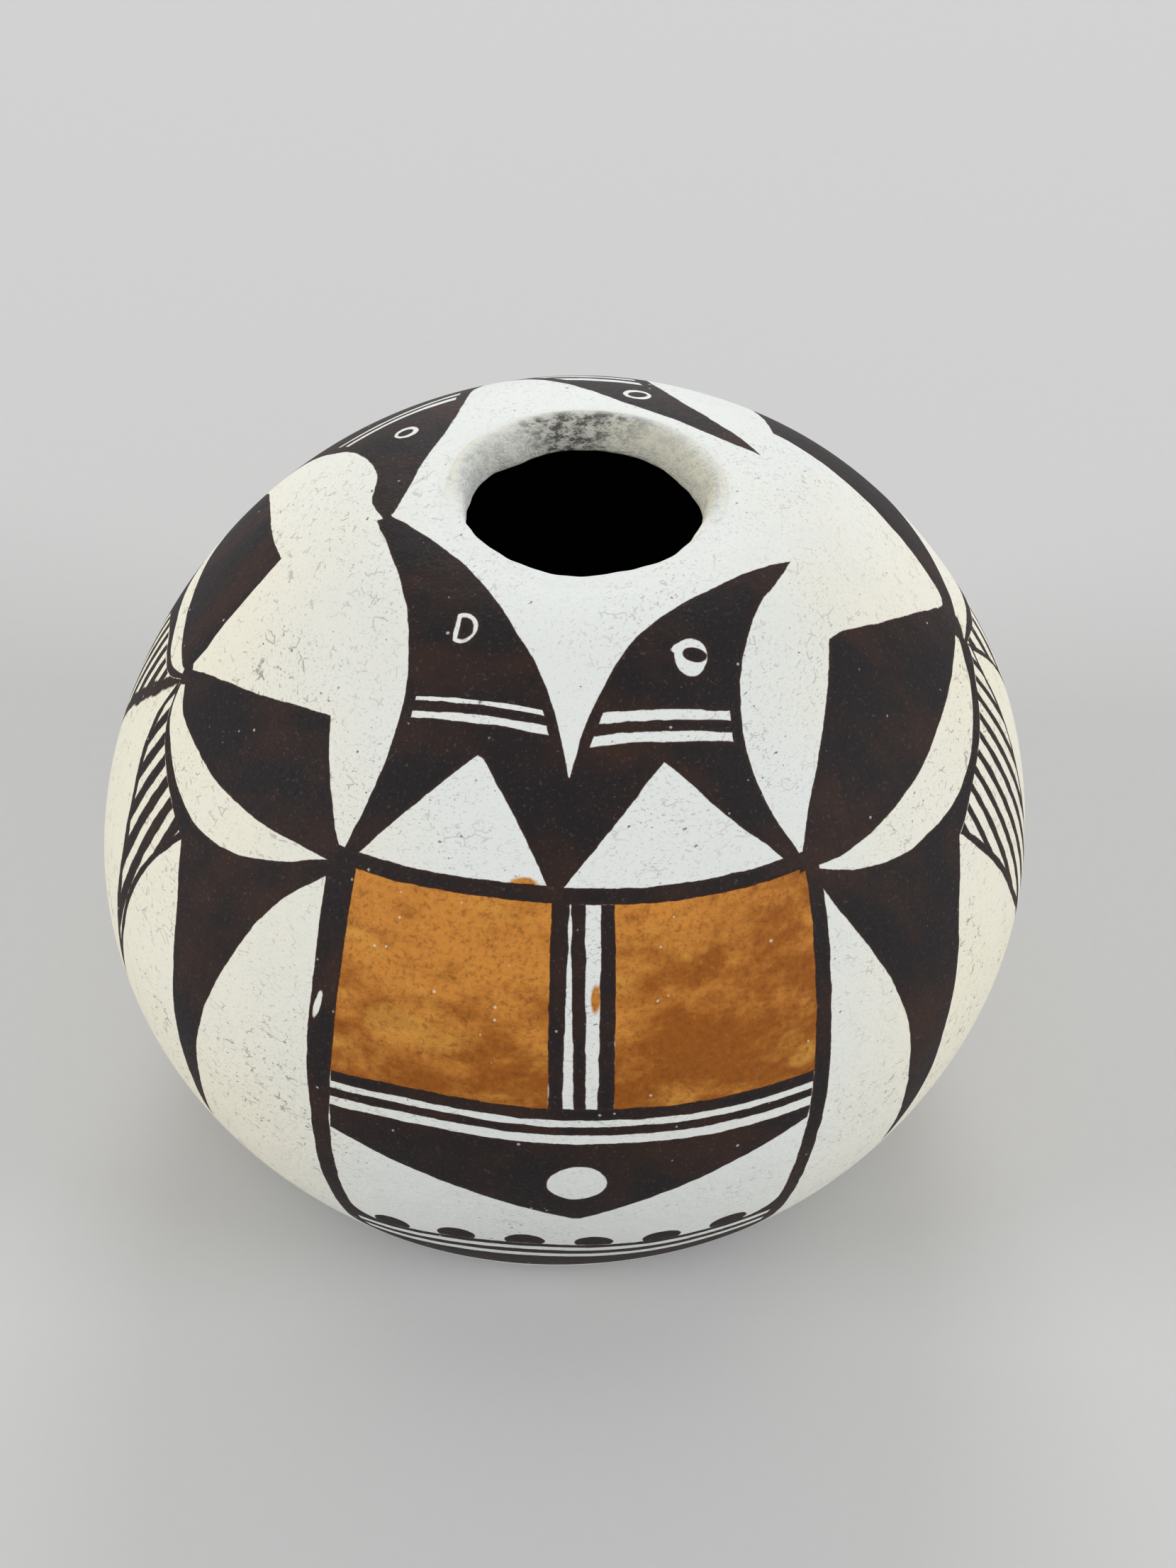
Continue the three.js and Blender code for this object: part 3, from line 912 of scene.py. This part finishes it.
def with_leaves(surface, dark):
    """Adds the upper leaves, the strokes under the crescents, the hanging leaves, hatching and knots."""
    leaf_in, leaf_top, leaf_bow = surface.attribute("leaf")
    dark = dark.most(leaf_in.least(leaf_top, leaf_bow))
    crescent, stroke, q = surface.attribute("crescent")
    slant, count, arc = surface.attribute("hatched")
    past_knot = (q - HANGING_START_Q) * 0.7
    low_in, low_out, petal = surface.attribute("hanging")
    dark = dark.most((-crescent).least(stroke, petal + 1.2, arc - LEAVES_START))
    hanging = (LEAVES_END - arc).least(past_knot, arc - LEAVES_START)
    dark = dark.most((-crescent).least(low_in, low_out, hanging))
    _, knot, line_gap = surface.attribute("touches")
    zone = (-stroke).least(petal + 0.45, slant + 0.3, arc - LEAVES_START)
    lines = (abs(count.fraction() - 0.5) * 2.0 - line_gap) * 1.1
    return dark.most(zone.least((0.45 - petal).most(0.3 - slant, lines)), knot)


def with_panel(surface, dark):
    """Adds the band, the frame with its foot lines, the lines and peak under the window, dots, stripes."""
    peak, signed, foot = surface.attribute("panel")
    outside, inside, level = surface.attribute("frame")
    arc = surface.attribute("hatched")[2]
    dark = dark.most((level - BAND[0]).least(BAND[1] - level, outside + 0.6))
    foot_lines = inside_lines(foot, FOOT_LINES).least(outside - 2.0)
    dark = dark.most(outside.least(-inside, level - FRAME_START).least(-foot_lines))
    lines = inside.least(level - LINES_START, peak * 0.9, -inside_lines(level, WINDOW_LINES))
    dark = dark.most(lines.least(-inside_oval(signed, arc, *DISC)))
    cell = ((signed + 0.3) / DOT_PITCH).fraction() - 0.5
    dark = dark.most(inside.least(inside_oval(cell, foot, *DOT), DOTS_REACH - abs(signed)))
    down = down_window(level)
    first, *others = [half - down * taper - abs(signed - place - down * lean)
                      for half, taper, place, lean in STRIPES]
    window = inside.least(level - WINDOW[0], WINDOW[1] - level)
    return dark.most(window.least(first.most(*others) * 0.88))


def wash_shape(surface):
    """The window on both sides of its stripes, a stain between them and a smear over the band."""
    signed = surface.attribute("panel")[1]
    _, inside, level = surface.attribute("frame")
    arc = surface.attribute("hatched")[2]
    middle, lean, half = BETWEEN_WASH
    beside = (abs(signed - middle - down_window(level) * lean) - half) * 0.85
    wash = (inside + 0.25).least(level - WASH[0], WASH[1] - level).least(beside)
    return wash.most(inside_oval(signed, arc, *STAIN), inside_oval(signed, arc, *SMEAR))


def painted_shapes(surface, paint, wobble):
    """The distances inside the dark paint and inside the wash; positive where there is paint."""
    dark = with_panel(surface, with_leaves(surface, bird_shape(surface, paint)))
    signed = surface.attribute("panel")[1]
    arc = surface.attribute("hatched")[2]
    chip = inside_oval(signed + (arc - CHIP[0][1]) * CHIP_LEAN, arc, *CHIP)
    return dark.least(-chip).least(arc - 0.5) + wobble, wash_shape(surface) + wobble


def ochre_wash(surface, paint, place):
    """The orange wash: brushed patches, darker to the right as painted shade and thick lower down, thin
    places, grain and grits.
    """
    signed = surface.attribute("panel")[1]
    _, inside, level = surface.attribute("frame")
    brush = surface.place(scale=(1.0, 1.0, 1.9))
    patches = surface.noise(brush, 6.0, 4.0, 0.60, 4.0)
    # Rust grows to the right as painted shade, and lower down where the wash is thick.
    thicker_down_shaded_right = (abs(signed) * 0.002 + signed * 0.002 + (level - 44.0) * 0.010).least(0.20)
    colour = surface.blend((patches + thicker_down_shaded_right).ramp(0.40, 0.72), paint.orange_colour, paint.rust_colour)
    thin = surface.noise(brush, 7.5, 3.0, 0.6, 7.0)
    edge = (1.0 - (inside - 0.6).ramp(0.0, 3.0)) * 0.05
    spill = (inside_oval(signed, level, *SPILL) + 0.3 + (patches - 0.5) * 2.4).ramp(0.2, 0.6)
    worn = (thin + edge).ramp(0.54, 0.72) * 0.5
    colour = surface.blend(worn.most(spill * 0.5), colour, paint.yellow_colour)
    grain = surface.noise(place, 0.75, 4.0, 0.8, 18.0)
    colour = surface.blend(grain.ramp(0.46, 0.68) * 0.62, colour, paint.rust_shade_colour)
    colour = surface.blend((1.0 - grain.ramp(0.26, 0.46)) * 0.26, colour, paint.yellow_colour)
    spots, pick, _ = surface.cells(place, 1.3)
    grits = ((pick - 0.70).most(0.0) * 0.50 - spots).cover(0.06)
    return surface.blend(grits * 0.55, colour, paint.ivory_light_and_grit_colour)


def mineral_paint(surface, paint, dark, place):
    """The dark paint: blue-black where it is thick, brown where it is thin and along its edges."""
    brush = surface.place(scale=(1.0, 1.6, 1.0), turn=(0.0, 0.0, 0.5))
    thin = surface.noise(brush, 12.0, 4.0, 0.6, 6.0).ramp(0.40, 0.70)
    edge = (1.0 - (dark / 0.55).clamp()) * 0.8
    colour = surface.blend(thin.most(edge) * 0.85, paint.dark_colour, paint.brown_colour)
    dust = surface.noise(place, 0.42, 3.0, 0.75, 19.0).ramp(0.55, 0.76)
    return surface.blend(dust * 0.30, colour, paint.dust_colour)


def painted_outside(paint):
    """The outside: slip, dark paint that thins to brown, ochre wash, chips, and all their fine relief."""
    surface = Surface("painted slip")
    colour, specks_and_pit_shade, place = slip_ground(surface, paint)
    wobble = (surface.noise(place, 2.6, 3.0, 0.6, 2.0) - 0.5) * (paint.edge_wobble / MM * 2.0)
    dark, orange = painted_shapes(surface, paint, wobble)
    dark_cover = dark.cover(0.10)
    orange_cover = orange.cover(0.25)
    colour = surface.blend(orange_cover, colour, ochre_wash(surface, paint, place))
    ragged = surface.noise(place, 0.35, 2.0, 0.7, 22.0) - 0.5
    spots, pick, _ = surface.cells(place, 1.7)
    chips = ((pick - 0.68).most(0.0) * 0.33 - spots + ragged * 0.12).cover(0.07)
    covered = dark_cover * (1.0 - chips * 0.55)
    colour = surface.blend(covered, colour, mineral_paint(surface, paint, dark, place))
    fine = surface.noise(place, 0.5, 3.0, 0.65, 10.0)
    dimples = surface.noise(place, 1.5, 2.0, 0.5, 16.0)
    slow = surface.noise(place, 8.0, 2.0, 0.5, 11.0)
    height = fine * 0.40 + dimples * 0.50 + slow * 1.8 - specks_and_pit_shade * 0.35 + dark_cover * 0.10
    roughness = 0.56 + dark_cover * 0.06 + fine * 0.12 + orange_cover * 0.1
    return surface.finish(colour, roughness, surface.bump(0.55, 0.0004, height), 0.25)


def bare_inside(paint):
    """The lip's inner edge, yellowish at the sides, grey smudges and painted shade at the back, and the
    inside in painted shade.
    """
    surface = Surface("bare clay inside")
    colour, _, place = slip_ground(surface, paint)
    arc = surface.attribute("hatched")[2]
    split = surface.node("ShaderNodeSeparateXYZ", {}, {0: place}).outputs
    sideways, backwards = Value(surface, split[0]) / MM, Value(surface, split[1]) / MM
    streaks = surface.noise(surface.place(scale=(0.7, 1.0, 1.5)), 0.9, 4.0, 0.8, 12.0)
    warm = (backwards * 0.5 + abs(sideways) * 0.4 + sideways * 0.4).ramp(0.0, 13.0)
    warm = warm * (0.1 - arc).ramp(0.0, 1.6)
    rear = (backwards + 5.0).ramp(0.0, 9.0)
    warm = warm.most((1.0 - abs(arc - 0.1).ramp(0.1, 0.8)) * rear * 0.5)
    colour = surface.blend(warm * (1.0 - streaks.ramp(0.42, 0.66) * 0.6), colour, paint.lip_colour)
    broad = surface.noise(place, 5.0, 2.0, 0.5, 21.0)
    # Grey at the back where the lip slopes into the mouth: smudges, and painted shade on that slope.
    soiled_and_shaded = (backwards - abs(sideways + 3.0) * 0.45 + broad * 5.0).ramp(9.5, 15.0)
    cut = (0.7 - arc).ramp(0.0, 1.8) * (rear * 0.9 + 0.1)
    smudge_and_shade = (streaks.ramp(0.43, 0.60) * 0.8 + soiled_and_shaded * 0.25) * (soiled_and_shaded * 0.66 + 0.30) * cut
    colour = surface.blend(smudge_and_shade, colour, paint.smudge_and_shade_colour)
    # Deeper than about 6 mm into the mouth the colour turns near black: painted shade of the hollow inside,
    # over dark clay.
    depth = (surface.noise(place, 2.5, 3.0, 0.6, 13.0) - arc).ramp(5.4, 6.6)
    colour = surface.blend(depth, colour, paint.inside_shade_colour)
    lumps = surface.noise(place, 2.4, 3.0, 0.6, 15.0)
    height = streaks * cut * 1.6 + lumps * 0.7
    return surface.finish(colour, 0.76 + streaks * 0.15, surface.bump(0.9, 0.0007, height), 0.2)


def colour_setting(name, description, default):
    """A colour that a user can change."""
    return FloatVectorProperty(name=name, description=description, subtype="COLOR", default=default,
                               min=0.0, max=1.0)


def length_setting(name, description, default, least):
    """A length in metres that a user can change."""
    return FloatProperty(name=name, description=description, default=default, min=least, unit="LENGTH",
                         precision=5)


class SeedJarShape(bpy.types.PropertyGroup):
    columns: IntProperty(name="Columns", description="Faces round the jar", default=360, min=24,
                         max=COLUMN_LIMIT - 1)
    spacing: length_setting("Row spacing", "Distance between rows on the outside", 0.00078, 0.0003)


class SeedJarPaint(bpy.types.PropertyGroup):
    slip_colour: colour_setting("Slip", "White slip with a painted cool light tint", (0.74, 0.765, 0.745))
    ivory_light_and_grit_colour: colour_setting("Ivory light tint and grits", "Painted warm light tint on the flanks, and pale grits in the wash", (0.80, 0.765, 0.63))
    temper_and_pit_shade_colour: colour_setting("Temper and pit shade", "Dark grains that show through the slip, and painted shade in its pits", (0.10, 0.085, 0.068))
    dark_colour: colour_setting("Dark paint", "Blue-black mineral paint", (0.0085, 0.0058, 0.0072))
    brown_colour: colour_setting("Thin dark paint", "Dark paint where it is thin", (0.034, 0.013, 0.0065))
    dust_colour: colour_setting("Dust", "Pale dust in the dark paint's pores", (0.20, 0.17, 0.15))
    orange_colour: colour_setting("Orange wash", "Ochre clay wash", (0.58, 0.228, 0.034))
    rust_colour: colour_setting("Rust", "Where the wash is thick, and its painted shade on the right", (0.29, 0.082, 0.003))
    rust_shade_colour: colour_setting("Rust shade", "Dark grain in the wash", (0.17, 0.045, 0.003))
    yellow_colour: colour_setting("Yellow", "Where the wash is thin", (0.66, 0.33, 0.055))
    lip_colour: colour_setting("Lip", "Yellowish rubbed edge of the mouth", (0.74, 0.71, 0.56))
    smudge_and_shade_colour: colour_setting("Smudge and shade", "Grey grime and painted shade on the lip's inner slope", (0.11, 0.105, 0.095))
    inside_shade_colour: colour_setting("Inside", "Painted shade inside the jar, over dark clay", (0.030, 0.022, 0.016))
    neck_bar: length_setting("Neck bar", "Width of the pale bars on a neck", 0.00108, 0.0001)
    edge_wobble: length_setting("Edge wobble", "How far a painted edge strays", 0.00028, 0.0)


class SeedJarStage(bpy.types.PropertyGroup):
    floor_colour: colour_setting("Floor", "Pale floor", (0.56, 0.56, 0.56))
    floor_size: length_setting("Floor size", "Side of the floor", 2.2, 0.5)
    lamp_power: FloatProperty(name="Lamp power", description="Power of each of the three soft lamps",
                              default=22.6, min=0.0, unit="POWER")
    lamp_size: length_setting("Lamp size", "Side of a soft lamp", 0.92, 0.05)
    world_light: FloatProperty(name="World light", description="Strength of the even light all round",
                               default=0.65, min=0.0)


class SEEDJAR_OT_jar(bpy.types.Operator):
    """Form the jar, draw its pattern and give it its slip and paint"""
    bl_idname = "seed_jar.jar"
    bl_label = "Form and paint the jar"

    def execute(self, context):
        shape = context.scene.seed_jar_shape
        paint = context.scene.seed_jar_paint
        points, quads, triangles, corners = lathe_mesh(shape.columns, shape.spacing / MM)
        jar = mesh_object("painted_seed_jar", points, quads, triangles)
        mesh = jar.data
        if len(mesh.loops) != len(corners["arc"]):
            raise RuntimeError("the jar's faces changed while its mesh was made")
        for name, values in pattern_fields(corners).items():
            layer = mesh.attributes.new(name, "FLOAT_VECTOR", "CORNER")
            layer.data.foreach_set("vector", values.ravel())
        mesh.materials.append(painted_outside(paint))
        mesh.materials.append(bare_inside(paint))
        mesh.polygons.foreach_set("material_index", corners["inside"].astype(np.int32))
        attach(jar, "root")
        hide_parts("jar_body")
        return {"FINISHED"}


class SEEDJAR_OT_stage(bpy.types.Operator):
    """Set the plain floor, the soft light and the camera"""
    bl_idname = "seed_jar.stage"
    bl_label = "Set the stage"

    def execute(self, context):
        stage = context.scene.seed_jar_stage
        plain_floor(stage)
        soft_light(stage)
        camera(context.scene)
        context.scene.view_settings.view_transform = "Standard"
        return {"FINISHED"}


def plain_floor(stage):
    """A flat square floor at the jar's foot."""
    half = stage.floor_size / 2.0
    points = np.array([[-half, -half, 0.0], [half, -half, 0.0], [half, half, 0.0], [-half, half, 0.0]])
    floor = mesh_object("floor", points, np.array([[0, 1, 2, 3]]), np.zeros((0, 3), dtype=int))
    surface = Surface("plain floor")
    place = surface.place()
    grain = surface.noise(place, 2.0, 3.0, 0.6, 1.0)
    colour = surface.blend(grain.ramp(0.3, 0.7) * 0.08, stage.floor_colour, (0.5, 0.5, 0.5))
    relief = surface.bump(0.1, 0.0002, grain)
    floor.data.materials.append(surface.finish(colour, 0.8 + grain * 0.1, relief, 0.2))


def soft_light(stage):
    """Three wide lamps round the jar, low enough to light its sides like its top, and an even world."""
    for index, azimuth in enumerate(LAMP_AZIMUTHS):
        data = bpy.data.lights.new(f"soft lamp {index + 1}", "AREA")
        data.energy = stage.lamp_power
        data.size = stage.lamp_size
        lamp = bpy.data.objects.new(data.name, data)
        angle = math.radians(azimuth)
        lamp.location = (LAMP_DISTANCE * math.sin(angle), -LAMP_DISTANCE * math.cos(angle), LAMP_HEIGHT)
        towards = Vector((0.0, 0.0, BELLY_HEIGHT * MM)) - lamp.location
        lamp.rotation_euler = towards.to_track_quat("-Z", "Y").to_euler()
        lamp.visible_camera = False
        bpy.context.scene.collection.objects.link(lamp)
    world = bpy.data.worlds.new("even light")
    world.use_nodes = True
    background = world.node_tree.nodes["Background"]
    background.inputs[0].default_value = (1.0, 1.0, 1.0, 1.0)
    background.inputs[1].default_value = stage.world_light
    bpy.context.scene.world = world


def camera(scene):
    """A camera that looks down at the jar, turned a little and rolled a little."""
    c, s = math.cos(CAMERA_DOWN), math.sin(CAMERA_DOWN)
    forward = Vector((math.sin(CAMERA_TURN) * c, math.cos(CAMERA_TURN) * c, -s))
    right = Vector((math.cos(CAMERA_TURN), -math.sin(CAMERA_TURN), 0.0))
    up = right.cross(forward)
    side = math.cos(CAMERA_ROLL) * right + math.sin(CAMERA_ROLL) * up
    top = -math.sin(CAMERA_ROLL) * right + math.cos(CAMERA_ROLL) * up
    data = bpy.data.cameras.new("camera")
    data.sensor_width = SENSOR
    data.sensor_fit = "AUTO"
    data.lens = CAMERA_LENS
    data.clip_start = 0.01
    obj = bpy.data.objects.new("camera", data)
    turn = Matrix((side, top, -forward)).transposed().to_4x4()
    obj.matrix_world = Matrix.Translation(CAMERA_AT) @ turn
    scene.collection.objects.link(obj)
    scene.camera = obj


class SEEDJAR_PT_panel(bpy.types.Panel):
    """The seed jar's pieces and settings"""
    bl_idname = "SEEDJAR_PT_panel"
    bl_label = "Seed Jar"
    bl_space_type = "VIEW_3D"
    bl_region_type = "UI"
    bl_category = "Seed Jar"

    def draw(self, context):
        layout = self.layout
        scene = context.scene
        for operator, settings in ((SEEDJAR_OT_jar, (scene.seed_jar_shape, scene.seed_jar_paint)),
                                   (SEEDJAR_OT_stage, (scene.seed_jar_stage,))):
            layout.operator(operator.bl_idname)
            for group in settings:
                for name in group.__annotations__:
                    layout.prop(group, name)


GROUPS = {"seed_jar_shape": SeedJarShape, "seed_jar_paint": SeedJarPaint, "seed_jar_stage": SeedJarStage}
CLASSES = (*GROUPS.values(), SEEDJAR_OT_jar, SEEDJAR_OT_stage, SEEDJAR_PT_panel)


def register():
    for item in CLASSES:
        bpy.utils.register_class(item)
    for name, group in GROUPS.items():
        setattr(bpy.types.Scene, name, PointerProperty(type=group))


def unregister():
    for name in GROUPS:
        delattr(bpy.types.Scene, name)
    for item in reversed(CLASSES):
        bpy.utils.unregister_class(item)


def main():
    register()
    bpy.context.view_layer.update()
    bpy.ops.seed_jar.stage()
    bpy.ops.seed_jar.jar()


if __name__ == "__main__":
    main()
